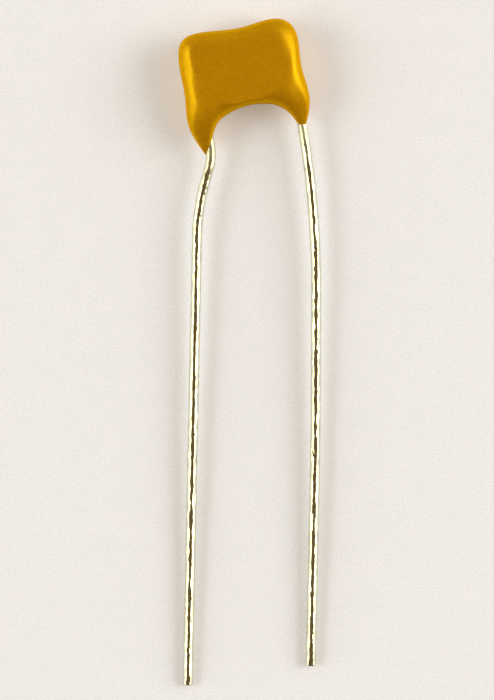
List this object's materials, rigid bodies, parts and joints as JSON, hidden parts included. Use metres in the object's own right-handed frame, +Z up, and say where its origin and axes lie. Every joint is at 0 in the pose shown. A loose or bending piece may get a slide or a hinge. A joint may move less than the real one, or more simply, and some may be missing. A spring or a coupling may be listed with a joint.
{
  "type": "ceramic capacitor",
  "caption": "Radial multilayer ceramic capacitor: a waisted gold epoxy dipped body, with a drip down each of its long bent tinned wire leads.",
  "frame": {"origin": "on the surface that the part lies on, under the middle of its box", "axes": "+Z up, square to the flat face of the body; the leads run towards -Y and the body lies at +Y; +X runs from the left lead to the right one"},
  "size_m": [0.006, 0.0276, 0.0022],
  "materials": {
    "epoxy": "satin",
    "dielectric": "matte",
    "electrode_metal": "satin",
    "cap_plating": "satin",
    "solder": "satin",
    "tinned_wire": "gloss"
  },
  "bodies": {
    "root": {"epoxy_coat": "epoxy", "ceramic_block": "dielectric", "electrodes_left": "electrode_metal", "electrodes_right": "electrode_metal", "termination_left": "cap_plating", "termination_right": "cap_plating", "solder_left": "solder", "solder_right": "solder", "lead_left": "tinned_wire", "lead_right": "tinned_wire"}
  },
  "joints": []
}
